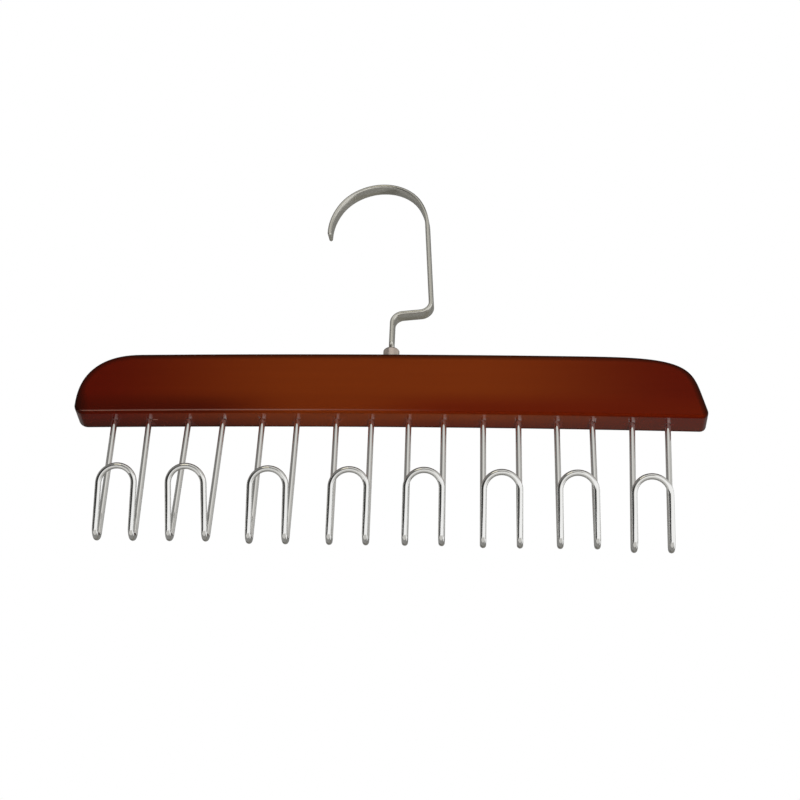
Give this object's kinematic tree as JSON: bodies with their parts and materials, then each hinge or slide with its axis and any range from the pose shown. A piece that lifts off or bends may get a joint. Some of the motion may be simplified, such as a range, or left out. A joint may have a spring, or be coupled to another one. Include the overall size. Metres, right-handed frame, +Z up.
{
  "type": "delicates hanger",
  "caption": "Lacquered wooden bar with bent-wire strap hooks below and a flat swivelling rail hook above, for hanging straps and small garments.",
  "frame": {"origin": "where the swivel axis meets the underside of the bar, at mid-thickness", "axes": "+X along the bar, -Y to the front where the wire loops flare out, +Z up along the swivel axis"},
  "size_m": [0.3503, 0.0364, 0.2532],
  "materials": {
    "lacquered_wood": "glossy clear lacquer over cherry-stained wood",
    "satin_nickel": "satin nickel plate",
    "chrome_wire": "bright plated wire",
    "plain_steel": "plain steel, hidden inside the bar"
  },
  "bodies": {
    "hook": {"rail_hook": "satin_nickel", "retaining_washer": "plain_steel"},
    "bar": {"bar": "lacquered_wood", "collar": "satin_nickel", "swivel_sleeve": "plain_steel", "wire_hook_1": "chrome_wire", "wire_hook_2": "chrome_wire", "wire_hook_3": "chrome_wire", "wire_hook_4": "chrome_wire", "wire_hook_5": "chrome_wire", "wire_hook_6": "chrome_wire", "wire_hook_7": "chrome_wire", "wire_hook_8": "chrome_wire"}
  },
  "joints": [
    {"name": "hook_swivel", "type": "hinge", "parent": "hook", "child": "bar", "pos_m": [0, 0, 0.0398], "axis": [0, 0, 1], "continuous": true}
  ]
}
